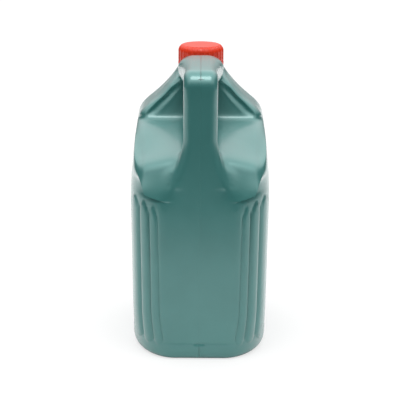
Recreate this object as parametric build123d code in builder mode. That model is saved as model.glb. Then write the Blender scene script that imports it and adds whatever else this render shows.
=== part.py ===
# A four litre motor oil bottle, blown in one piece with a hollow carrying handle,
# with its screw cap, the cap's sealing liner and the tamper ring left on the neck.
# +Z is up, the origin is the middle of the base, and the handle is at -Y.

import os
from math import cos, pi, radians, sin, sqrt, tan

from build123d import *

os.makedirs("parts", exist_ok=True)

# Overall sizes of the blown body
body_length = 184.0
foot_half_width = 60.2
waist_half_width = 62.8
waist_height = 138.0
side_bow_radius = 400.0
base_edge_radius = 6.0
wall = 1.2
base_wall = 1.7
push_up_height = 3.0
push_up_margin = 14.0

# Plan shape: straight faces joined by long elliptical corners
corner_across = 33.0
corner_along = 52.0
foot_corner_across = 39.0
foot_corner_height = 45.0
recess_corner_across = 13.0
recess_corner_along = 26.0
shelf_corner_across = 39.0
shelf_corner_along = 54.0
corner_change = 14.0
corner_blend = 6.0

# Reeds up the four corners, each at its own turn of the corner
reed_turns = (28.0, 49.0, 70.0)
reed_radius = 18.0
reed_rise = 1.4
reed_low = 11.0
reed_high = 153.0
reed_taper = 12.0

# Recessed panels on the two wide sides
panel_length = 76.0
panel_low = 16.0
panel_high = 146.0
panel_depth = 0.6
panel_corner = 10.0

# Shoulder and neck root
neck_setback = 57.0
neck_root_radius = 21.4
neck_root_height = 244.0
shoulder_slope = 0.62
shoulder_swell = 0.0085
shoulder_rounding = 7.0
neck_roundness = 0.93

# Finger recess behind the neck: a lobed foot, a sloping shelf and a steep hollow
lobe_foot_height = 147.0
lobe_swell = 2.8
lip_height = 179.0
lip_setback = 12.0
lip_depth = 4.0
lip_rise = 2.5
shelf_end_height = 200.5
shelf_end_setback = 89.0
shelf_turn_height = 204.0
shelf_turn_setback = 93.5
hollow_fade_height = 224.0

# Handle
grip_half_width = 15.1
grip_depth = 22.0
grip_corner = 8.0
root_half_width = 34.0
root_flare_power = 1.9
root_low = 140.0
root_top = 197.0
root_bury = 0.5
crotch_height = 186.0
crotch_flare = 6.0
crotch_run = 24.0
arm_height = 261.5
arm_fall = 1.0
bend_outer_radius = 15.0
bend_inner_radius = 8.0
crest_half_width = 21.0
crest_setback = 84.0
crest_depth = 26.0
crest_end_depth = 8.5
crest_corner = 14.0
crest_run = 26.0
handle_roundness = 0.9
handle_wall = 1.6

# Neck finish
neck_bore_radius = 14.5
neck_wall = 2.2
platform_rise = 2.2
platform_radius = 20.9
platform_edge = 0.5
platform_root = 6.6
bead_drop = 1.6
bead_height = 1.4
bead_depth = 1.5
bead_gap = 0.3
thread_depth = 1.3
thread_root = 2.4
thread_crest = 1.0
thread_pitch = 4.5
thread_turns = 1.25
thread_drop = 3.2
thread_clearance = 0.35
thread_bury = 0.3

# Screw cap, its liner and the tamper ring
cap_top_height = 265.0
cap_height = 14.6
cap_radius = 21.0
cap_top_thickness = 1.8
cap_edge_radius = 4.0
rib_depth = 0.6
rib_width = 1.5
rib_count = 26
cap_thread_rise = 1.9
liner_thickness = 1.2
liner_gap = 0.1
liner_edge_gap = 0.3
ring_gap = 0.4
ring_seat_gap = 0.2
ring_bulge = 0.3

# Spacing of the sections that the walls are drawn through
wall_step = 32.0
foot_corner_step = 9.0
foot_step = 3.5
shelf_step = 1.8
shoulder_step = 4.0
grip_step = 4.0
bend_step = 10
edge_steps = 5

# Places worked out from the sizes
back_face = -body_length / 2
front_face = body_length / 2
neck_y = front_face - neck_setback
neck_back = neck_y - neck_root_radius
grip_front = back_face + grip_depth
crest_y = back_face + crest_setback
pivot_y = grip_front + bend_inner_radius
pivot_z = arm_height - grip_depth - bend_inner_radius
neck_radius = neck_bore_radius + neck_wall
thread_radius = neck_radius + thread_depth
cap_bottom = cap_top_height - cap_height
cap_bore_radius = thread_radius + thread_clearance
liner_bottom = cap_top_height - cap_top_thickness - liner_thickness
neck_top = liner_bottom - liner_gap
platform_top = neck_root_height + platform_rise
ring_bottom = platform_top + ring_seat_gap
ring_top = cap_bottom - ring_gap
thread_rise = thread_pitch * thread_turns
thread_top = neck_top - thread_drop
cap_thread_low = cap_bottom + cap_thread_rise
neck_axis = Axis((0, neck_y, 0), (0, 0, 1))
neck_profile = Plane(origin=(0, neck_y, 0), x_dir=(1, 0, 0), z_dir=(0, -1, 0))


def smooth_min(first, second, blend):
    """The smaller of two values, with the corner between them rounded over."""
    gap = max(blend - abs(first - second), 0.0) / blend
    return min(first, second) - gap * gap * blend / 4


def ease(t):
    """A step from 0 to 1 with level ends."""
    t = min(max(t, 0.0), 1.0)
    return t * t * (3 - 2 * t)


def rounding(z, radius):
    """How far a rounded bottom edge stands in from its wall at height z above it."""
    if z >= radius:
        return 0.0
    return radius - sqrt(radius**2 - (radius - z) ** 2)


def shoulder_reach(z):
    """Distance of the hollow-sided shoulder from the neck axis at height z."""
    fall = neck_root_height - z
    return neck_root_radius + shoulder_slope * fall + shoulder_swell * fall**2


def side_bow(z):
    """How far the walls bow inwards above the waist."""
    return max(z - waist_height, 0.0) ** 2 / (2 * side_bow_radius)


def half_width(z):
    """Half the body's width: a slight taper, then a bow inwards and the shoulder."""
    taper = (waist_half_width - foot_half_width) * min(z, waist_height) / waist_height
    side = foot_half_width + taper - side_bow(z)
    return smooth_min(side, shoulder_reach(z), shoulder_rounding)


def front_y(z):
    """The front wall, which leans back to the neck at the shoulder."""
    upright = front_face - side_bow(z)
    return smooth_min(upright, neck_y + shoulder_reach(z), shoulder_rounding)


# Side view of the wall under the handle: height, and how far in from the back face
recess_profile = (
    (lobe_foot_height, 0.0),
    ((lobe_foot_height + lip_height) / 2, lobe_swell),
    (lip_height, lip_setback),
    (lip_height + lip_rise, lip_setback + lip_depth),
    (shelf_end_height, shelf_end_setback),
    (shelf_turn_height, shelf_turn_setback),
    (neck_root_height, neck_back - back_face),
)


def recess_setback(z):
    """How far the wall under the handle stands in from the back face at height z."""
    for (low, near), (high, far) in zip(recess_profile, recess_profile[1:]):
        if z <= high:
            return near + (far - near) * max(z - low, 0.0) / (high - low)
    return neck_back - back_face


def plan_section(z, inset=0.0, drop=0.0, floor=0.0, edge=base_edge_radius):
    """The body's plan outline at height z, or one set in and lowered for the inside."""
    bottom = rounding(z - floor, edge)
    a = half_width(z + drop) - inset - bottom
    front = front_y(z + drop) - inset - bottom
    back = back_face + recess_setback(z + drop) + inset + bottom
    foot = 1 - ease((z + drop) / foot_corner_height)
    recess = ease((z + drop - lobe_foot_height) / corner_change + 0.5)
    recess *= 1 - ease((z + drop - hollow_fade_height) / (neck_root_height - hollow_fade_height))
    shelf = ease((z + drop - lip_height) / corner_change + 0.5)
    shelf *= 1 - ease((z + drop - shelf_end_height) / corner_change + 0.5)
    wall_across = corner_across + (foot_corner_across - corner_across) * foot
    across = wall_across + (recess_corner_across - wall_across) * recess
    across += (shelf_corner_across - across) * shelf - inset
    along = corner_along + (recess_corner_along - corner_along) * recess
    along += (shelf_corner_along - along) * shelf - inset
    widest = neck_roundness * a
    longest = neck_roundness * (front - back) / 2
    back_x = smooth_min(across, widest, corner_blend)
    back_r = smooth_min(along, longest, corner_blend)
    front_x = smooth_min(wall_across - inset, widest, corner_blend)
    front_r = smooth_min(corner_along - inset, longest, corner_blend)
    with BuildSketch(Plane.XY.offset(z)) as outline:
        with BuildLine():
            Line((front_x - a, front), (a - front_x, front))
            EllipticalCenterArc((a - front_x, front - front_r), front_x, front_r, 0)
            Line((a, front - front_r), (a, back + back_r))
            EllipticalCenterArc((a - back_x, back + back_r), back_x, back_r, 270)
            Line((a - back_x, back), (back_x - a, back))
            EllipticalCenterArc((back_x - a, back + back_r), back_x, back_r, 180)
            Line((-a, back + back_r), (-a, front - front_r))
            EllipticalCenterArc((front_x - a, front - front_r), front_x, front_r, 90)
        make_face()
    return outline.sketch


def levels(start, stop, step):
    """Heights from start up to, but not including, stop in equal steps."""
    count = max(1, round((stop - start) / step))
    return [start + (stop - start) * index / count for index in range(count)]


def body_levels(low, high, edge, drop=0.0):
    """Heights of the plan sections, closest together where the walls turn most."""
    change = lobe_foot_height - corner_change / 2 - drop
    lip = lip_height - drop
    turn = shelf_turn_height - drop
    heights = [
        low + edge * (1 - cos(pi / 2 * index / edge_steps)) for index in range(edge_steps)
    ]
    heights += levels(low + edge, foot_corner_height, foot_corner_step)
    heights += levels(foot_corner_height, change, wall_step)
    heights += levels(change, lip, foot_step)
    heights += levels(lip, turn, shelf_step)
    heights += levels(turn, high, shoulder_step)
    return heights + [high]


def root_width(z):
    """Half-width of the handle's root, flared like a funnel down to the back face."""
    t = (root_top - z) / (root_top - lobe_foot_height)
    flare = min(max(t, 0.0), 1.0) ** root_flare_power
    return grip_half_width + (root_half_width - grip_half_width) * flare


def handle_section(y, z, turn, near, far, half, corner):
    """A rounded section of the handle, from near to far along a ray that turns
    from straight back at 0 degrees to straight up at 90."""
    ray = radians(turn)
    place = Plane(origin=(0, y, z), x_dir=(1, 0, 0), z_dir=(0, sin(ray), cos(ray)))
    with BuildSketch(place) as section:
        with Locations((0, -(near + far) / 2)):
            rounded = min(corner, handle_roundness * (far - near) / 2)
            RectangleRounded(2 * half, far - near, rounded)
    return section.sketch


def bend_reach(turn):
    """Distance from the bend's pivot out to the outer face of the handle, which is
    two straight legs joined by an arc."""
    leg = grip_depth + bend_inner_radius
    side = radians(min(turn, 90 - turn))
    if leg * tan(side) < leg - bend_outer_radius:
        return leg / cos(side)
    diagonal = sqrt(2) * (leg - bend_outer_radius)
    off = radians(45) - side
    return diagonal * cos(off) + sqrt(bend_outer_radius**2 - (diagonal * sin(off)) ** 2)


def handle_sections(inset, low):
    """Sections along the handle: its root, the grip, the bend and the arm."""
    corner = grip_corner - inset
    half = grip_half_width - inset
    sections = []
    grip_low = crotch_height + crotch_run
    for z in levels(low, grip_low, grip_step) + [grip_low]:
        bury = root_bury * max(lobe_foot_height - z, 0.0) / (lobe_foot_height - root_low)
        flare = crotch_flare * (1 - ease((z - crotch_height + crotch_run / 3) / crotch_run))
        near = -grip_front - flare + inset
        far = -back_face - bury - inset
        sections.append(handle_section(0, z, 0, near, far, root_width(z) - inset, corner))
    for turn in range(0, 91, bend_step):
        near = bend_inner_radius + inset
        far = bend_reach(turn) - inset
        sections.append(handle_section(pivot_y, pivot_z, turn, near, far, half, corner))
    for index in range(1, edge_steps + 1):
        share = index / edge_steps
        y = pivot_y + (crest_y - pivot_y) * share
        spread = half + (crest_half_width - grip_half_width) * share**2
        round_over = corner + (crest_corner - grip_corner) * share**2
        near = arm_height - grip_depth - (crest_depth - grip_depth) * share**2 + inset
        far = arm_height - arm_fall * share - inset
        sections.append(handle_section(y, 0, 90, near, far, spread, round_over))
    return sections


def crest_sections(inset):
    """Sections that carry the arm down from its crest to the root of the neck."""
    sections = []
    start = arm_height - crest_depth
    end = neck_root_height - crest_end_depth
    top = arm_height - arm_fall
    for index in range(edge_steps + 1):
        share = index / edge_steps
        near = start + (end - start) * share + inset
        far = top - (top - neck_root_height) * ease(share) - inset
        y = crest_y + crest_run * share
        sections.append(
            handle_section(y, 0, 90, near, far, crest_half_width - inset, crest_corner - inset)
        )
    return sections


def thread(radius, depth, low):
    """A trapezoid thread ridge on a cylinder, outwards for a positive depth."""
    with BuildPart() as ridge:
        with BuildLine():
            track = Helix(thread_pitch, thread_rise, radius, center=(0, neck_y, low))
        place = Plane(origin=track @ 0, x_dir=(1, 0, 0), z_dir=track % 0)
        bury = -thread_bury if depth > 0 else thread_bury
        with BuildSketch(place):
            with BuildLine():
                Polyline(
                    (bury, -thread_root / 2),
                    (0, -thread_root / 2),
                    (depth, -thread_crest / 2),
                    (depth, thread_crest / 2),
                    (0, thread_root / 2),
                    (bury, thread_root / 2),
                    close=True,
                )
            make_face()
        sweep(path=track, is_frenet=True)
    return ridge.part


def reed(turn, x_side, y_side):
    """A long spindle sunk in a corner, so that one flank stands out as a reed."""
    across = cos(radians(turn)) / corner_across
    along = sin(radians(turn)) / corner_along
    size = sqrt(across**2 + along**2)
    sink = (reed_rise - reed_radius) / size
    y = front_face - corner_along * (1 - sin(radians(turn))) + along * sink
    foot, tip = (
        Vector(
            x_side * (half_width(z) - corner_across * (1 - cos(radians(turn))) + across * sink),
            y_side * y,
            z,
        )
        for z in (reed_low, reed_high)
    )
    run = (tip - foot).length
    upright = (tip - foot).normalized()
    point = reed_radius - 2 * reed_rise
    with BuildPart() as spindle:
        with BuildSketch(Plane(foot, x_dir=(0, 1, 0), z_dir=Vector(0, 1, 0).cross(upright))):
            with BuildLine():
                Polyline(
                    (0, 0),
                    (point, 0),
                    (reed_radius, reed_taper),
                    (reed_radius, run - reed_taper),
                    (point, run),
                    (0, run),
                    close=True,
                )
            make_face()
        revolve(axis=Axis(foot, upright))
    return spindle.part


def push_up_sections(cover):
    """The raised middle of the base, or that middle with the wall over it."""
    margin = push_up_margin - cover
    height = push_up_height + cover
    return [plan_section(z, margin + z, edge=0.0) for z in (0.0, height)]


# Side panels: a shallow step that follows the wall
with BuildPart() as panels:
    with BuildSketch(Plane.YZ):
        with Locations((0, (panel_low + panel_high) / 2)):
            RectangleRounded(panel_length, panel_high - panel_low, panel_corner)
    extrude(amount=waist_half_width + wall, both=True)
    panel_levels = levels(panel_low - wall, panel_high + wall, wall_step)
    loft(
        [plan_section(z, panel_depth, edge=wall) for z in panel_levels + [panel_high + wall]],
        ruled=True,
        mode=Mode.SUBTRACT,
    )

# The hollow inside: body, handle and neck bore
with BuildPart() as hollow:
    inner_edge = base_edge_radius - wall
    inner_top = neck_root_height - wall
    loft(
        [
            plan_section(z, wall, wall, base_wall, inner_edge)
            for z in body_levels(base_wall, inner_top, inner_edge, wall)
        ],
        ruled=True,
    )
    loft(handle_sections(handle_wall, root_low + handle_wall), ruled=True)
    loft(crest_sections(handle_wall), ruled=True)
    with BuildSketch(Plane.XY.offset(inner_top - wall)):
        with Locations((0, neck_y)):
            Circle(neck_bore_radius)
    extrude(amount=cap_top_height - inner_top)
    loft(push_up_sections(base_wall), ruled=True, mode=Mode.SUBTRACT)

# The bottle, blown in one piece with its handle and neck
with BuildPart() as bottle:
    outer_levels = body_levels(0, neck_root_height, base_edge_radius)
    loft([plan_section(z) for z in outer_levels], ruled=True)
    for x_side in (-1, 1):
        for y_side in (-1, 1):
            for turn in reed_turns:
                add(reed(turn, x_side, y_side))
    add(panels.part, mode=Mode.SUBTRACT)
    loft(handle_sections(0, root_low), ruled=True)
    loft(crest_sections(0), ruled=True)
    with BuildSketch(neck_profile):
        with BuildLine():
            bead_low = ring_top - bead_drop
            Polyline(
                (0, platform_top - platform_root),
                (platform_radius, platform_top - platform_root),
                (platform_radius, platform_top - platform_edge),
                (platform_radius - platform_edge, platform_top),
                (neck_radius, platform_top),
                (neck_radius, bead_low),
                (neck_radius + bead_depth, bead_low),
                (neck_radius + bead_depth, bead_low + bead_height / 2),
                (neck_radius, bead_low + bead_height),
                (neck_radius, neck_top),
                (0, neck_top),
                close=True,
            )
        make_face()
    revolve(axis=neck_axis)
    add(thread(neck_radius, thread_depth, thread_top - thread_rise))
    add(hollow.part, mode=Mode.SUBTRACT)
    loft(push_up_sections(0.0), ruled=True, mode=Mode.SUBTRACT)

# The tamper ring that the cap breaks away from, held under the neck's bead
with BuildPart() as tamper_ring:
    with BuildSketch(neck_profile):
        with BuildLine():
            flap_top = ring_top - bead_drop - bead_gap
            Polyline(
                (neck_radius + bead_gap, ring_bottom),
                (cap_radius, ring_bottom),
                (cap_radius + ring_bulge, (ring_bottom + ring_top) / 2),
                (cap_radius, ring_top),
                (neck_radius + bead_depth + bead_gap, ring_top),
                (neck_radius + bead_depth + bead_gap, flap_top),
                (neck_radius + bead_gap, flap_top - bead_gap),
                close=True,
            )
        make_face()
    revolve(axis=neck_axis)

# The screw cap: a ribbed skirt with a rounded top edge and an inside thread
with BuildPart() as cap:
    with BuildSketch(neck_profile):
        with BuildLine():
            Polyline(
                (cap_radius - cap_edge_radius, cap_top_height),
                (0, cap_top_height),
                (0, cap_bottom),
                (cap_radius, cap_bottom),
                (cap_radius, cap_top_height - cap_edge_radius),
            )
            RadiusArc(
                (cap_radius - cap_edge_radius, cap_top_height),
                (cap_radius, cap_top_height - cap_edge_radius),
                cap_edge_radius,
            )
        make_face()
    revolve(axis=neck_axis)
    with BuildSketch(Plane.XY.offset(cap_bottom)):
        with Locations((0, neck_y)):
            Circle(cap_radius + rib_depth)
            Circle(cap_radius - rib_depth, mode=Mode.SUBTRACT)
            with PolarLocations(cap_radius, rib_count):
                Rectangle(4 * rib_depth, rib_width, mode=Mode.SUBTRACT)
    extrude(amount=cap_height, mode=Mode.SUBTRACT)
    with BuildSketch(Plane.XY.offset(cap_bottom)):
        with Locations((0, neck_y)):
            Circle(cap_bore_radius)
    extrude(amount=cap_height - cap_top_thickness, mode=Mode.SUBTRACT)
    track_low = thread_top - thread_rise - thread_pitch / 2
    start_turn = 360 * (cap_thread_low - track_low) / thread_pitch
    add(thread(cap_bore_radius, -thread_depth, cap_thread_low).rotate(neck_axis, start_turn))

# The soft disc in the cap that seals on the rim of the neck
with BuildPart() as cap_liner:
    with BuildSketch(Plane.XY.offset(liner_bottom)):
        with Locations((0, neck_y)):
            Circle(cap_bore_radius - liner_edge_gap)
    extrude(amount=liner_thickness)

bottle.part.label = "bottle"
tamper_ring.part.label = "tamper_ring"
cap.part.label = "cap"
cap_liner.part.label = "cap_liner"

export_step(bottle.part, "parts/bottle.step")
export_step(tamper_ring.part, "parts/tamper_ring.step")
export_step(cap.part, "parts/cap.step")
export_step(cap_liner.part, "parts/cap_liner.step")
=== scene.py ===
from math import cos, pi, radians, sin, sqrt, tan

import bpy
import numpy as np
from mathutils import Matrix, Vector
from mathutils.bvhtree import BVHTree


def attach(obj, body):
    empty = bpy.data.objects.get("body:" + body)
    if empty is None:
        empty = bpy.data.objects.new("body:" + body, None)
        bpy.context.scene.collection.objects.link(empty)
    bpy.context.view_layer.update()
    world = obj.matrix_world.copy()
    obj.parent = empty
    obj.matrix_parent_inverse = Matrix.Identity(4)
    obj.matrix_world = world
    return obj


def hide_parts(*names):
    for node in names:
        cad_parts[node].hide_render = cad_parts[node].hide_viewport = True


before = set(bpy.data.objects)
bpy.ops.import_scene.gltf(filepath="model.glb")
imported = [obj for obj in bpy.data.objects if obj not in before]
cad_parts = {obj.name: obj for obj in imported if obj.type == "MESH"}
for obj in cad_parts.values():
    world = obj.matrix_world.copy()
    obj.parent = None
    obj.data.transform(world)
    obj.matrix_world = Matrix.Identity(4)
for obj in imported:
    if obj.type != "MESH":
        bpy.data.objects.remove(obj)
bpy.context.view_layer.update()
bpy.ops.object.select_all(action="DESELECT")

# The blown body.
# One thin HDPE shell, blown in a split mould: reeded corners, label panels, a lobed foot
# to the finger recess, its sloping shelf, and a fluted shoulder that runs up to the neck.
MM = 0.001
BACK, FRONT = -92.0, 92.0
NECK_Y, NECK_ROOT_R, NECK_ROOT_Z = 35.0, 21.4, 244.0
WALL, BASE_WALL, BASE_EDGE = 1.8, 1.7, 6.0
FOOT_HALF, WAIST_GAIN, WAIST_Z, BOW = 60.2, 2.6, 138.0, 800.0
SHOULDER_SLOPE, SHOULDER_CURVE, SHOULDER_BLEND, CORNER_BLEND = 0.62, 0.0085, 7.0, 6.0
CORNER_STEPS, SIDE_STEPS, FRONT_STEPS = 44, 8, 14
FLAT_SHARES = np.r_[0, 0.01, 0.02, 0.035, 0.06, np.linspace(0.095, 1, 25)[:-1]]
# Each reed: the degrees of the corner's turn it lies between, its rise, and its top's height
REEDS = ((18.0, 42.9, 1.5, 137.0), (42.9, 61.0, 1.5, 136.0), (61.0, 75.8, 1.0, 134.0))
REED_LOW, REED_TAPER, GROOVE, GROOVE_WIDTH = 12.0, 9.0, 0.8, 0.2


def soft_min(first, second, blend):
    """The smaller of two values, with the corner between them rounded over."""
    gap = np.maximum(blend - np.abs(first - second), 0.0) / blend
    return np.minimum(first, second) - gap * gap * blend / 4


def ease(t):
    """A step from 0 to 1 with level ends."""
    t = np.clip(t, 0.0, 1.0)
    return t * t * (3 - 2 * t)


def rounded(points, rounds=4):
    """Cuts the corners of a line again and again, until they are round."""
    points = np.array(points, float)
    for _ in range(rounds):
        near, far = points[:-1], points[1:]
        cut = np.stack((near * 0.75 + far * 0.25, near * 0.25 + far * 0.75), 1)
        points = np.vstack((points[:1], cut.reshape(-1, 2), points[-1:]))
    return points


def walked(points, step):
    """Points along a line, as far apart as step says for the height they lie at."""
    run = np.concatenate(([0], np.cumsum(np.hypot(*np.diff(points, axis=0).T))))
    marks = [0.0]
    while marks[-1] < run[-1]:
        marks.append(marks[-1] + step(np.interp(marks[-1], run, points[:, 1])))
    marks = np.array(marks) * run[-1] / marks[-1]
    return np.column_stack([np.interp(marks, run, points[:, k]) for k in (0, 1)])


# Side view of the back: how far in from the back face, and the height
back_line = rounded(
    (
        (0, 6), (0, 60), (0, 120), (0, 143), (0.2, 146.5), (1.4, 150.5), (4.2, 158), (7.2, 165.5),
        (9.8, 171.5), (12.2, 176.2), (15.2, 179.4), (20, 181.8), (30, 184.9), (60, 193),
        (80, 198.4), (87.5, 200.4), (91.5, 202.6), (93.6, 207), (97, 217), (101, 230),
        (104, 239), (105.6, 244),
    )
)

# The half outline's points, from the middle of the back round to the middle of the front:
# their place on the way, and how far the corner that they lie in has turned
way = np.r_[
    FLAT_SHARES,
    1 + np.linspace(0, 1, CORNER_STEPS + 1),
    np.full(SIDE_STEPS - 1, 2.0),
    np.full(CORNER_STEPS + 1 + FRONT_STEPS, 2.0),
]
turn_down = np.linspace(90, 0, CORNER_STEPS + 1)
turns = np.r_[
    np.full(len(FLAT_SHARES), 90.0),
    turn_down,
    np.full(SIDE_STEPS - 1, 0.0),
    turn_down[::-1],
    np.full(FRONT_STEPS, 90.0),
]
at_back = np.arange(len(way)) < len(FLAT_SHARES) + CORNER_STEPS + 1
# The lower edge of the lobes under the recess: it rises towards the corners
lobe_edge = np.interp(way, (0, 0.6, 0.82, 0.94, 1.05, 1.2, 1.6, 2), (0, 0, 1, 2.6, 5, 8, 10, 10))
lobe_edge = np.where(at_back, lobe_edge, 10.0)


def plan_half(z, h, inset=0.0):
    """Half of the body's outline as seen from above, each point at its own height z.
    h is the height by which the corners change their shape."""
    drop = NECK_ROOT_Z - z
    reach = NECK_ROOT_R + SHOULDER_SLOPE * drop + SHOULDER_CURVE * drop**2
    bow = np.maximum(z - WAIST_Z, 0.0) ** 2 / BOW
    wall = FOOT_HALF + WAIST_GAIN * np.minimum(z, WAIST_Z) / WAIST_Z - bow
    half = soft_min(wall, reach, SHOULDER_BLEND) - inset
    front = soft_min(FRONT - bow, NECK_Y + reach, SHOULDER_BLEND) - inset
    back = BACK + np.interp(z, back_line[:, 1], back_line[:, 0]) + inset

    # The corners' radii across and along the body: widest at the foot, boxy in the recess,
    # tight above its shelf and round at the neck
    low = 1 - ease(h / 45.0)
    boxy = ease((h - 141.0) / (8.0 + 24.0 * ease((way - 1.0) / 0.5)))
    tight = ease((h - 199.0) / 7.0)
    round_neck = ease((h - 231.0) / 13.0)
    foot_across, foot_along = 33.0 + 6.0 * low, 52.0 + 16.0 * low
    across = foot_across + (12.0 - foot_across) * boxy - 4.0 * tight - inset
    along = foot_along - 28.0 * boxy - 15.0 * tight - inset
    widest, longest = 0.93 * half, 0.465 * (front - back)
    across = soft_min(across, widest, CORNER_BLEND) * (1 - round_neck) + widest * round_neck
    along = soft_min(along, longest, CORNER_BLEND) * (1 - round_neck) + longest * round_neck
    front_across = soft_min(foot_across - inset, widest, CORNER_BLEND)
    front_along = soft_min(foot_along - inset, longest, CORNER_BLEND)

    # The points: the flat of the back, a corner, the side, the other corner and the front
    flat = slice(len(FLAT_SHARES))
    side_start = len(FLAT_SHARES) + CORNER_STEPS + 1
    side_end = side_start + SIDE_STEPS - 1
    side = slice(side_start, side_end)
    side_shares = np.arange(1, SIDE_STEPS) / SIDE_STEPS
    to_middle = 1 - np.arange(1, FRONT_STEPS + 1) / FRONT_STEPS
    arc = np.radians(turns)
    x = (half - across) + across * np.cos(arc)
    x[flat] = ((half - across) * way)[flat]
    x[side_start:] = (half - front_across + front_across * np.cos(arc))[side_start:]
    x[side] = half[side]
    x[-FRONT_STEPS:] = (half - front_across)[-FRONT_STEPS:] * to_middle
    y = back + along - along * np.sin(arc)
    y[flat] = back[flat]
    near, far = back + along, front - front_along
    y[side] = near[side] + (far - near)[side] * side_shares
    y[side_end:] = (front - front_along + front_along * np.sin(arc))[side_end:]
    y[-FRONT_STEPS:] = front[-FRONT_STEPS:]
    leaned = 1.7 * boxy * ease((-15.0 - y) / 60.0) * (1 - ease((h - 196.0) / 12.0))
    return x - leaned * x / half, y


def lip_fall(x, z):
    """The lip of the finger recess hangs lower towards its outer ends."""
    fall = 7.0 * np.clip((np.abs(x) - 18.0) / 34.0, 0, 1) ** 1.2 - 2.0
    around = np.where(at_back, ease(turns / 60.0), 0.0)
    return fall * around * ease((z - 152.0) / 22.0) * (1 - ease((z - 184.0) / 14.0))


def body_ring(h, inset=0.0, relief=True):
    """One closed row of points round the body."""
    z = h + lobe_edge * ease((h - 112.0) / 30.0) * (1 - ease((h - 150.0) / 28.0))
    x, y = plan_half(z, h, inset)
    z = z - lip_fall(x, z)
    ring = np.column_stack((np.r_[x, -x[-2:0:-1]], np.r_[y, y[-2:0:-1]]))
    if relief:
        along_ring = np.roll(ring, -1, axis=0) - np.roll(ring, 1, axis=0)
        out = np.column_stack((along_ring[:, 1], -along_ring[:, 0]))
        out /= np.linalg.norm(out, axis=1)[:, None]
        lift = body_relief(x, y, z, h)
        ring = ring + out * np.r_[lift, lift[-2:0:-1]][:, None]
    return np.column_stack((ring, np.r_[z, z[-2:0:-1]]))


def body_relief(x, y, z, h):
    """How far the reeds, flutes, foot band and label panels stand out of the plain wall."""
    # The band round the foot, which ends in a small step
    lift = 0.22 * (1 - ease((z - 14.0) / 1.6)) * ease((z - 5.0) / 3.0)
    # The reeds, with a groove on each side
    for low, high, rise, top in REEDS:
        end = min(h - REED_LOW, top - h) / REED_TAPER
        if end > 0:
            grow = sqrt(1 - (1 - min(end, 1.0)) ** 2)
            off = np.abs(turns - (low + high) / 2) / ((high - low) / 2 * max(grow, 0.2))
            lift = lift + rise * grow * np.clip(1 - off**2, 0, None) ** 0.75
            lift = lift - GROOVE * grow * np.exp(-(((off - 1) / GROOVE_WIDTH) ** 2))
    # The shoulder's two ridges, the flute between them and the one outside them: u is how far
    # out a point lies, and each line is a rise, its middle and its width
    u = np.abs(x) / np.abs(x).max()
    fluted = ease((z - 203.0) / 6.0) * (1 - ease((z - 236.0) / 8.0)) * at_back
    outer = np.interp(z, (215, 221, 230, 240), (0.93, 0.88, 0.856, 0.86))
    inner = np.interp(z, (205, 213, 217, 223.5, 231.5, 240), (0.72, 0.67, 0.645, 0.61, 0.56, 0.53))
    lift = lift + 1.1 * fluted * np.exp(-(((u - outer) / 0.055) ** 2))
    lift = lift - 0.9 * fluted * np.exp(-(((u - (outer + inner) / 2) / 0.08) ** 2))
    lift = lift + 0.2 * fluted * np.exp(-(((u - inner) / 0.03) ** 2))
    upper = ease((z - 214.0) / 6.0)
    lift = lift - 1.5 * fluted * upper * np.exp(-(((u - 0.985) / 0.03) ** 2))
    # The sunk label panel on each side, an oblong with round corners
    gap = np.hypot(np.maximum(np.abs(y) - 28.0, 0), np.maximum(np.abs(z - 81.0) - 55.0, 0))
    lift = lift - 0.6 * (1 - ease((gap - 9.2) / 1.6)) * (turns < 20)
    # The dimple over the parting line at the foot of the back
    dimple = np.exp(-(((z - 14.5) / 1.0) ** 2)) * np.exp(-((x / 4.5) ** 4)) * (y < 0)
    return lift - 0.8 * dimple


def rolled_sheet(name, rows):
    """A flat grid rolled up: each of its rows becomes one closed ring."""
    rows = np.array(rows) * MM
    count, around = rows.shape[:2]
    bpy.ops.mesh.primitive_grid_add(x_subdivisions=around, y_subdivisions=count - 1)
    piece = bpy.context.object
    piece.name = name
    piece.data.name = name
    closed = np.concatenate((rows, rows[:, :1]), axis=1)
    piece.data.vertices.foreach_set("co", closed.ravel())
    bpy.ops.object.mode_set(mode="EDIT")
    bpy.ops.mesh.select_all(action="SELECT")
    bpy.ops.mesh.remove_doubles(threshold=1e-6)
    bpy.ops.mesh.normals_make_consistent(inside=False)
    bpy.ops.object.mode_set(mode="OBJECT")
    return piece


def flat_ring(inset, z, share=1.0):
    """The base's outline at one height, drawn in by inset and then to a share of its size."""
    ring = body_ring(0.0, inset, relief=False)
    return np.column_stack((ring[:, :2] * share, np.full(len(ring), z)))


def row_step(h):
    """How far apart the body's rows are at a height."""
    if 12 < h < 17 or 140 < h < 150:
        return 0.6
    if 20 < h < 120:
        return 2.4
    return 1.3 if h < 210 else 1.7


def outer_rows():
    """The outside, from the middle of the base to the root of the neck."""
    rows = [flat_ring(17.0, 3.0, share) for share in (0.0, 0.4, 0.75, 1.0)]
    for inset, z in ((16.4, 2.75), (14.9, 0.6), (14.2, 0.1), (12.5, 0.0), (9.0, 0.0)):
        rows.append(flat_ring(inset, z))
    for index in range(9):
        edge = pi / 2 * index / 9
        ring = body_ring(BASE_EDGE * (1 - cos(edge)), BASE_EDGE * (1 - sin(edge)), relief=False)
        rows.append(ring)
    for _, h in walked(back_line, row_step):
        rows.append(body_ring(h))
    return rows


neck_turns = body_ring(NECK_ROOT_Z, relief=False)[:, :2] - (0.0, NECK_Y)
neck_turns /= np.linalg.norm(neck_turns, axis=1)[:, None]
PITCH, TURNS, THREAD_LOW = 4.5, 1.25, 253.075


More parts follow.
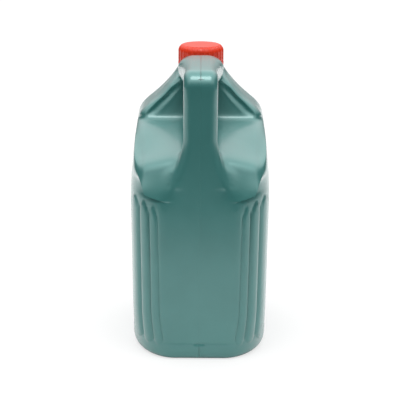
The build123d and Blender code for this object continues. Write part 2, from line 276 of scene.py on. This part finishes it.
def thread_ridge(angle, z, low):
    """How far a right-hand thread stands up that starts at this height on the X axis."""
    height = 0.0
    for lap in range(-1, 3):
        along = angle / (2 * pi) + lap
        off = np.abs(z - low - PITCH * along)
        ends = ease(along / 0.05) * ease((TURNS - along) / 0.05)
        height = np.maximum(height, np.clip((1.2 - off) / 0.7, 0, 1) * ends)
    return 1.3 * height


def neck_rows(profile):
    """Rings round the neck's axis, one for each radius and height of the profile."""
    rows = []
    angle = np.arctan2(neck_turns[:, 1], neck_turns[:, 0])
    for r, z in profile:
        ring = neck_turns * (r + thread_ridge(angle, z, THREAD_LOW))[:, None] + (0.0, NECK_Y)
        rows.append(np.column_stack((ring, np.full(len(ring), z))))
    return rows


outer_neck = (
    (20.95, 245.4), (20.8, 245.9), (20.4, 246.2), (18.0, 246.2), (16.9, 246.25), (16.7, 246.5),
    (16.7, 248.4), (18.1, 248.4), (18.2, 248.5), (18.2, 249.0), (18.1, 249.15), (16.8, 249.75),
    (16.7, 250.0), *((16.7, z) for z in np.linspace(251.5, 260.5, 31)),
    (16.7, 261.3), (16.55, 261.7), (16.2, 261.9), (15.1, 261.9), (0.0, 261.9),
)
body = rolled_sheet("blown_body", outer_rows() + neck_rows(outer_neck))

# The carrying handle.
# Blown with the body: its root flares out of the back, a grip stands up from it, bends
# forwards and widens into an arm that falls to the root of the neck. It is hollow too.
ARM_Z, GRIP_DEPTH, GRIP_HALF, HANDLE_WALL, HANDLE_CORNER = 261.5, 22.0, 15.1, 1.6, 8.0
BEND_IN, BEND_OUT = 8.0, 15.0
# The arm runs to ARM_END_Y, and its end then falls into the shoulder over END_LENGTH.
# ARM_RUN is what the number of the arm's rings is worked out from
ARM_RUN, ARM_END_Y, END_LENGTH, END_DEPTH = 62, -8.0, 26.0, 26.0
PIVOT_Y, PIVOT_Z = BACK + GRIP_DEPTH + BEND_IN, ARM_Z - GRIP_DEPTH - BEND_IN
half_shares = np.r_[np.linspace(1, 0.12, 6), 0.05, 0.025]
top_shares = np.r_[half_shares, 0, -half_shares[::-1]]


def handle_ring(y, z, turn, near, far, half, corner, deep_corner=None, inset=0.0):
    """A rounded oblong across the handle, along a ray that turns from straight back
    at 0 degrees to straight up at 90."""
    near, far, half = near + inset, far - inset, half - inset
    depth = (far - near) / 2
    cu = min(corner, 0.98 * half)
    cv = min(deep_corner or corner, 0.98 * depth)
    arc = np.radians(np.linspace(0, 90, 11))
    quarter_u = half - cu + cu * np.cos(arc)
    quarter_v = depth - cv + cv * np.sin(arc)
    middle = (half - cu) * top_shares[1:-1]
    top_u = np.r_[quarter_u, middle, -quarter_u[::-1]]
    top_v = np.r_[quarter_v, np.full(len(middle), depth), quarter_v[::-1]]
    side = (depth - cv) * np.linspace(1, -1, 5)[1:-1]
    u = np.r_[top_u, np.full(3, -half), -top_u, np.full(3, half)]
    v = np.r_[top_v, side, -top_v, -side]
    v = v + (near + far) / 2
    ray = radians(turn)
    return np.column_stack((u, y - v * cos(ray), z + v * sin(ray)))


def bend_reach(turn):
    """From the bend's pivot out to the handle's outer face: two legs and an arc."""
    leg = GRIP_DEPTH + BEND_IN
    side = radians(min(turn, 90 - turn))
    if leg * tan(side) < leg - BEND_OUT:
        return leg / cos(side)
    diagonal = sqrt(2) * (leg - BEND_OUT)
    off = radians(45) - side
    return diagonal * cos(off) + sqrt(BEND_OUT**2 - (diagonal * sin(off)) ** 2)


def handle_rows(inset, step):
    """Rings along the whole handle, about step apart."""
    rows = []
    # The grip, from its flared root inside the body up to the bend
    for z in np.arange(126.0, PIVOT_Z, step):
        half = GRIP_HALF + 18.9 * (np.clip(200.0 - z, 0, 56) / 52) ** 1.6
        flare = 6.0 * (1 - ease((z - 178.0) / 24.0))
        sunk = 0.03 + 16.0 * (max(143.0 - z, 0) / 17.0) ** 2
        near, far = -BACK - GRIP_DEPTH - flare - sunk, -BACK - sunk
        rows.append(handle_ring(0, z, 0, near, far, half, HANDLE_CORNER, inset=inset))
    # The bend
    for turn in np.arange(0, 90 + step, 1.7 * step):
        turn = min(turn, 90)
        corner = HANDLE_CORNER - 1.0 * sin(radians(2 * turn))
        reach = bend_reach(turn)
        ring = (PIVOT_Y, PIVOT_Z, turn, BEND_IN, reach, GRIP_HALF, corner)
        rows.append(handle_ring(*ring, inset=inset))
    # The arm, which widens and deepens forwards
    count = int(ARM_RUN / step)
    for share in np.linspace(0, 1, count)[1:]:
        wide = share**2
        y = PIVOT_Y + (ARM_END_Y - PIVOT_Y) * share
        near, half = ARM_Z - GRIP_DEPTH - 4.0 * wide, GRIP_HALF + 5.9 * wide
        corners = HANDLE_CORNER + 6.0 * wide, HANDLE_CORNER + 2.0 * wide
        rows.append(handle_ring(y, 0, 90, near, ARM_Z - share, half, *corners, inset=inset))
    # The arm's end
    for share in np.linspace(0, 1, count // 2)[1:]:
        y, near = ARM_END_Y + END_LENGTH * share, ARM_Z - END_DEPTH
        far = ARM_Z - 1.0 - 16.5 * ease((share - 0.36) / 0.64)
        rows.append(handle_ring(y, 0, 90, near, far, 21.0 - 3.0 * share, 14.0, 10.0, inset=inset))
    first, last = (np.tile(row.mean(axis=0), (len(row), 1)) for row in (rows[0], rows[-1]))
    return [first, *rows, last]


handle = rolled_sheet("handle", handle_rows(0.0, 1.5))


def combined(piece, other, operation):
    """Adds another closed piece to this one, or cuts it out, and removes the other."""
    join = piece.modifiers.new(operation, "BOOLEAN")
    join.operation = operation
    join.solver = "MANIFOLD"
    join.object = other
    bpy.ops.object.select_all(action="DESELECT")
    piece.select_set(True)
    bpy.context.view_layer.objects.active = piece
    bpy.ops.object.modifier_apply(modifier=operation)
    bpy.data.objects.remove(other)


def way_out(tree, point):
    """Distance from a closed skin, negative inside it, and the direction out of it."""
    near, normal, _, far = tree.find_nearest(point)
    off = point - near
    if far < 1e-6:
        return 0.0, normal
    return (far, off / far) if off.dot(normal) > 0 else (-far, -off / far)


def round_junction(piece, trees, reach):
    """Fills the inside corner where two skins meet, as a blown wall rounds it."""
    moved = set()
    for vertex in piece.data.vertices:
        point = vertex.co.copy()
        for _ in range(4):
            (first, out_first), (second, out_second) = (way_out(tree, point) for tree in trees)
            width = reach(point) * max(1 - out_first.dot(out_second), 0.0) + 1e-6
            gap = width - abs(first - second)
            if max(abs(first), abs(second)) > 1.6 * width or gap < 1e-6:
                break
            short = min(first, second) - gap * gap / (4 * width)
            share = 0.5 + (second - first) / (2 * width)
            slope = out_first * share + out_second * (1 - share)
            if slope.length < 0.2:
                break
            point -= slope * (0.8 * short / slope.length_squared)
            moved.add(vertex.index)
        vertex.co = point
    return moved


def junction_width(point):
    """The rounding is widest at the handle's root, and ends short of the neck's platform."""
    x, y, z = point / MM
    foot = 15.0 - 9.0 * ease((z - 170.0) / 9.0)
    neck = max(ease((sqrt(x * x + (y - NECK_Y) ** 2) - 22.0) / 6.0), ease((241.0 - z) / 8.0))
    fade = ease((z - 143.0) / 11.0) * (1 - ease((abs(x) - 40.0) / 8.0))
    return float(max(foot * neck * fade, 0.05)) * MM


depsgraph = bpy.context.evaluated_depsgraph_get()
skins = [BVHTree.FromObject(piece, depsgraph) for piece in (body, handle)]
combined(body, handle, "UNION")
rounded_points = round_junction(body, skins, junction_width)


def smooth_points(piece, chosen, repeat):
    """Evens out the points that chosen picks, and leaves the others as they are."""
    for elements in (piece.data.edges, piece.data.polygons):
        elements.foreach_set("select", [False] * len(elements))
    for vertex in piece.data.vertices:
        vertex.select = chosen(vertex)
    bpy.ops.object.mode_set(mode="EDIT")
    bpy.ops.mesh.select_mode(type="VERT")
    bpy.ops.mesh.vertices_smooth(factor=0.5, repeat=repeat)
    bpy.ops.object.mode_set(mode="OBJECT")


def at_crest(vertex):
    """Where the arm's end meets the shoulder beside the neck."""
    x, y, z = vertex.co / MM
    return 8 < abs(x) < 27 and -22 < y < 22 and 226 < z < 243 + 0.5 * max(8 - y, 0)


def at_root(vertex):
    """Where the grip's root comes out of the back."""
    x, y, z = vertex.co / MM
    return abs(x) < 34 and y < -84 and 139 < z < 158


smooth_points(body, lambda vertex: vertex.index in rounded_points, 4)
smooth_points(body, at_crest, 30)
smooth_points(body, at_root, 30)

# The hollow inside.
# What the air blew open: the body's and the handle's insides and the bore of the neck,
# cut out of the solid shape, so that a thin wall is left.
inner_neck = (
    (19.4, 243.0), (17.0, 244.2), (14.9, 245.2), (14.5, 246.2), (14.5, 261.2), (14.7, 261.7),
    (15.3, 262.2), (15.6, 264.0), (0.0, 264.0),
)


def inner_rows():
    """The inside, from the middle of the base to above the mouth, with a third of the points."""
    rows = [flat_ring(19.0, 4.8, share) for share in (0.0, 0.5, 1.0)]
    for inset, z in ((17.5, 4.4), (15.5, 2.4), (14.5, 1.8), (10.0, BASE_WALL)):
        rows.append(flat_ring(inset, z))
    for index in range(6):
        edge = pi / 2 * index / 6
        z = BASE_WALL + (BASE_EDGE - BASE_WALL) * (1 - cos(edge))
        rows.append(body_ring(z, WALL + (BASE_EDGE - WALL) * (1 - sin(edge)), relief=False))
    for _, h in walked(back_line, lambda h: 2.5 if 138 < h < 210 else 6.0):
        if h < 241.5:
            rows.append(body_ring(h, WALL, relief=False))
    rows = np.array(rows + neck_rows(inner_neck))
    return rows[:, ::3]


cavity = rolled_sheet("cavity", inner_rows())
combined(cavity, rolled_sheet("channel", handle_rows(HANDLE_WALL, 4.0)), "UNION")
combined(body, cavity, "DIFFERENCE")

bpy.ops.object.select_all(action="DESELECT")
body.select_set(True)
bpy.ops.object.shade_smooth_by_angle(angle=radians(40))
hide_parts("bottle")
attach(body, "bottle")


class Value:
    """One output of a material's nodes, so that its sums are written as sums."""

    def __init__(self, finish, socket):
        self.finish, self.socket = finish, socket

    def math(self, operation, *others):
        return self.finish.node("ShaderNodeMath", {"operation": operation}, (self, *others))

    def __add__(self, other):
        return self.math("ADD", other)

    def __sub__(self, other):
        return self.math("SUBTRACT", other)

    def __rsub__(self, other):
        return self.finish.node("ShaderNodeMath", {"operation": "SUBTRACT"}, (other, self))

    def __mul__(self, other):
        return self.math("MULTIPLY", other)

    def __abs__(self):
        return self.math("ABSOLUTE")

    __radd__ = __add__

    def step(self, low, high):
        """0 below low and 1 above high, with a smooth run between."""
        settings = {"interpolation_type": "SMOOTHSTEP"}
        return self.finish.node("ShaderNodeMapRange", settings, (self, low, high))


class Finish:
    """A material, built round one Principled shader."""

    def __init__(self, name, **constants):
        self.material = bpy.data.materials.new(name)
        self.material.use_nodes = True
        self.tree = self.material.node_tree
        self.shader = self.tree.nodes["Principled BSDF"]
        for key, value in constants.items():
            self.shader.inputs[key.replace("_", " ")].default_value = value
        self.place = self.node("ShaderNodeTexCoord", {}, (), "Object")

    def node(self, kind, settings, inputs, output=0):
        made = self.tree.nodes.new(kind)
        for key, value in settings.items():
            setattr(made, key, value)
        named = inputs.items() if isinstance(inputs, dict) else enumerate(inputs)
        for key, value in named:
            self.feed(made.inputs[key], value)
        return Value(self, made.outputs[output])

    def feed(self, socket, value):
        if isinstance(value, Value):
            self.tree.links.new(value.socket, socket)
        else:
            socket.default_value = value

    def axis(self, name):
        return self.node("ShaderNodeSeparateXYZ", {}, (self.place,), name)

    def noise(self, scale, detail):
        inputs = {"Vector": self.place, "Scale": scale, "Detail": detail}
        return self.node("ShaderNodeTexNoise", {}, inputs)

    def mix(self, factor, first, second):
        inputs = {"Factor": factor, 6: first, 7: second}
        return self.node("ShaderNodeMix", {"data_type": "RGBA"}, inputs, 2)

    def set(self, **links):
        for key, value in links.items():
            self.feed(self.shader.inputs[key.replace("_", " ")], value)

    def bump(self, height, distance):
        inputs = {"Height": height, "Distance": distance, "Strength": 1.0}
        self.set(Normal=self.node("ShaderNodeBump", {}, inputs))

    def cover(self, piece):
        piece.data.materials.clear()
        piece.data.materials.append(self.material)


teal = Finish("teal_hdpe", Metallic=0.25, Coat_Weight=1.0, Coat_Roughness=0.22)
cloud = teal.noise(38.0, 3.0)
pigment = teal.noise(2600.0, 1.0)
low, high = (0.043, 0.192, 0.180, 1), (0.052, 0.215, 0.202, 1)
teal.set(
    Base_Color=teal.mix(cloud.step(0.3, 0.7) * 0.6 + pigment * 0.4, low, high),
    Roughness=cloud * 0.06 + pigment * 0.05 + 0.33,
)
# The mould's parting line, deepest on the arm's top and at the base, and a short mark across it
off_middle, up = abs(teal.axis("X")), teal.axis("Z")
seam = 1 - off_middle.step(0.0001, 0.0006)
crest = up.step(0.2535, 0.2545)
pinch = 1 - up.step(0.010, 0.013)
gate = (1 - abs(up - 0.2548).step(0.0002, 0.0007)) * (1 - off_middle.step(0.0018, 0.0024))
skin = teal.noise(420.0, 2.0)
line = seam * (0.12 + (crest + pinch) * 0.5) + gate * 0.4
teal.bump(skin * 0.03 - line, 0.001)
teal.cover(body)

# The tamper ring.
# A thin band of red polypropylene, left on the neck when the cap is first turned.
red = Finish("red_polypropylene", Specular_IOR_Level=0.45)
grain = red.noise(900.0, 2.0)
shade = red.noise(60.0, 2.0)
red.set(
    Base_Color=red.mix(shade.step(0.3, 0.7), (0.67, 0.030, 0.005, 1), (0.74, 0.037, 0.008, 1)),
    Roughness=grain * 0.08 + 0.3,
)
red.bump(grain * 0.02, 0.001)
red.cover(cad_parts["tamper_ring"])

# The screw cap.
# Moulded in the same polypropylene: narrow ribs run up the skirt and over the rounded
# edge to a flat top, and the inside carries the thread that grips the neck.
CAP_R, CAP_LOW, CAP_TOP, CAP_BORE, CAP_ROOF = 21.0, 250.4, 264.95, 18.35, 263.2
CAP_THREAD_LOW, RIBS, RIB_STEPS, RIB_HEIGHT, EDGE_LEAN = 252.3, 26, 24, 0.55, 66


def cap_ring(r, z, rib=0.0, thread=0.0):
    """One row round the cap: r at the crest of the ribs, which stand rib high."""
    angle = np.linspace(0, 2 * pi, RIBS * RIB_STEPS, endpoint=False)
    crest = ease((np.cos(RIBS * angle) - 0.35) / 0.6)
    track_low = THREAD_LOW - PITCH / 2
    start = 2 * pi * (CAP_THREAD_LOW - track_low) / PITCH
    ridge = thread_ridge(np.mod(angle - start, 2 * pi), z, CAP_THREAD_LOW)
    r = r - rib * (1 - crest) - thread * ridge
    return np.column_stack((r * np.cos(angle), NECK_Y + r * np.sin(angle), np.full(len(angle), z)))


def cap_rows():
    """From the middle of the roof's underside, down the bore and up the outside."""
    rows = [cap_ring(r, CAP_ROOF) for r in (0.0, 9.0, 17.0, 17.95)]
    rows += [cap_ring(CAP_BORE - 0.12, CAP_ROOF - 0.12), cap_ring(CAP_BORE, CAP_ROOF - 0.4)]
    rows += [cap_ring(CAP_BORE, z, thread=1.0) for z in np.linspace(262.5, 250.9, 36)]
    rows += [cap_ring(CAP_BORE + 0.3, CAP_LOW), cap_ring(CAP_R - 0.9, CAP_LOW)]
    rows += [cap_ring(CAP_R - 0.35, CAP_LOW, 0.35), cap_ring(CAP_R, CAP_LOW + 0.35, RIB_HEIGHT)]
    rows += [cap_ring(CAP_R, z, RIB_HEIGHT) for z in (253.0, 256.0, 259.0)]
    for lean in np.radians(np.linspace(0, EDGE_LEAN, 14)):
        z = CAP_TOP - 6.0 * (sin(radians(EDGE_LEAN)) - sin(lean))
        rows.append(cap_ring(CAP_R - 5.8 * (1 - cos(lean)), z, RIB_HEIGHT))
    rows += [cap_ring(r, CAP_TOP + 0.04) for r in (17.3, 17.0, 9.0, 0.0)]
    return rows


cap = rolled_sheet("screw_cap", cap_rows())
bpy.ops.object.shade_smooth_by_angle(angle=radians(35))
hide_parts("cap")
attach(cap, "cap")
red.cover(cap)

# The liner.
# A disc of pale foam, pressed into the top of the cap.
foam = Finish("pale_foam")
cells = foam.noise(1500.0, 3.0)
foam.set(
    Base_Color=foam.mix(cells.step(0.35, 0.7), (0.74, 0.73, 0.68, 1), (0.84, 0.83, 0.79, 1)),
    Roughness=cells * 0.1 + 0.8,
)
foam.bump(cells * 0.1, 0.001)
foam.cover(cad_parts["cap_liner"])

# The stage.
# A pale floor in a bright tent that is dark behind the camera and low at the sides, one soft
# lamp above, and the camera.
FLOOR_WIDTH, FLOOR_NEAR, FLOOR_FAR = 4.0, -0.5, 3.5
GLOW_SEEN, GLOW_ALWAYS = 0.6, 0.08
CAMERA_TILT, CAMERA_ROLL = 14.56, 0.38
FOCAL_PIXELS, PICTURE_PIXELS, SENSOR_WIDTH = 1775.6, 400, 36
bpy.ops.mesh.primitive_plane_add(size=1.0, location=(0, 0, 0))
floor = bpy.context.object
floor.name = "floor"
for vertex in floor.data.vertices:
    vertex.co.x *= FLOOR_WIDTH
    vertex.co.y = FLOOR_NEAR if vertex.co.y < 0 else FLOOR_FAR
white = bpy.data.materials.new("white_floor")
white.use_nodes = True
nodes, links = white.node_tree.nodes, white.node_tree.links
matt = nodes["Principled BSDF"]
matt.inputs["Base Color"].default_value = (0.9, 0.9, 0.9, 1)
matt.inputs["Roughness"].default_value = 0.9
glow = nodes.new("ShaderNodeEmission")
glow.inputs["Strength"].default_value = 1.0
path = nodes.new("ShaderNodeLightPath")
part = nodes.new("ShaderNodeMath")
part.operation = "MULTIPLY_ADD"
part.inputs[1].default_value = GLOW_SEEN
part.inputs[2].default_value = GLOW_ALWAYS
links.new(path.outputs["Is Camera Ray"], part.inputs[0])
blend = nodes.new("ShaderNodeMixShader")
links.new(part.outputs[0], blend.inputs[0])
links.new(matt.outputs[0], blend.inputs[1])
links.new(glow.outputs[0], blend.inputs[2])
links.new(blend.outputs[0], nodes["Material Output"].inputs[0])
floor.data.materials.append(white)

world = bpy.data.worlds.new("studio")
bpy.context.scene.world = world
world.use_nodes = True
nodes, links = world.node_tree.nodes, world.node_tree.links


def world_node(kind, inputs, output=0, **settings):
    """Adds a node whose inputs are values or other nodes' sockets, and gives one output."""
    made = nodes.new(kind)
    for key, value in settings.items():
        setattr(made, key, value)
    for key, value in inputs.items():
        if isinstance(value, bpy.types.NodeSocket):
            links.new(value, made.inputs[key])
        else:
            made.inputs[key].default_value = value
    return made.outputs[output]


def world_step(value, low, high, bottom, top):
    """A smooth run from bottom to top while value goes from low to high."""
    return world_node(
        "ShaderNodeMapRange", {0: value, 1: low, 2: high, 3: bottom, 4: top},
        interpolation_type="SMOOTHSTEP",
    )


looked = nodes.new("ShaderNodeTexCoord").outputs["Generated"]
front = world_node(
    "ShaderNodeVectorMath", {0: looked, 1: (0, -0.95, -0.3)}, "Value", operation="DOT_PRODUCT"
)
height = world_node("ShaderNodeSeparateXYZ", {0: looked}, "Z")
aside = world_node("ShaderNodeSeparateXYZ", {0: looked}, "X")
strength = world_node(
    "ShaderNodeMath",
    {0: world_step(front, 0.33, 0.78, 1.0, 0.02), 1: world_step(height, -0.05, 0.8, 0.4, 1.8)},
    operation="MULTIPLY",
)
aside = world_node("ShaderNodeMath", {0: aside}, operation="ABSOLUTE")
sideways = world_node("ShaderNodeMath", {0: height, 1: -0.5, 2: aside}, operation="MULTIPLY_ADD")
strength = world_node(
    "ShaderNodeMath", {0: strength, 1: world_step(sideways, 0.25, 0.75, 1.0, 0.12)},
    operation="MULTIPLY",
)
tent = world_node("ShaderNodeBackground", {"Color": (1, 1, 1, 1), "Strength": strength})
plain = world_node("ShaderNodeBackground", {"Color": (1, 1, 1, 1), "Strength": 1.0})
seen = nodes.new("ShaderNodeLightPath").outputs["Is Camera Ray"]
both = world_node("ShaderNodeMixShader", {0: seen, 1: tent, 2: plain})
links.new(both, nodes["World Output"].inputs[0])


LAMP_PLACE, LAMP_AIM, LAMP_SIZE, LAMP_WATTS = (0, -0.26, 0.75), (0, -0.1, 0.2), (0.26, 0.22), 1.1
bpy.ops.object.light_add(type="AREA", location=LAMP_PLACE)
lamp = bpy.context.object
lamp.name = "overhead"
lamp.data.shape = "RECTANGLE"
lamp.data.size, lamp.data.size_y = LAMP_SIZE
lamp.data.energy = LAMP_WATTS
lit_way = Vector(LAMP_AIM) - Vector(LAMP_PLACE)
lamp.rotation_euler = lit_way.to_track_quat("-Z", "Y").to_euler()

camera = bpy.data.objects.new("camera", bpy.data.cameras.new("camera"))
bpy.context.collection.objects.link(camera)
camera.location = (0, -1.6, 0.54)
tilt = Matrix.Rotation(radians(90 - CAMERA_TILT), 3, "X")
camera.rotation_euler = (tilt @ Matrix.Rotation(radians(CAMERA_ROLL), 3, "Z")).to_euler()
camera.data.sensor_width = SENSOR_WIDTH
camera.data.lens = SENSOR_WIDTH * FOCAL_PIXELS / PICTURE_PIXELS
bpy.context.scene.camera = camera
bpy.context.scene.view_settings.view_transform = "Standard"
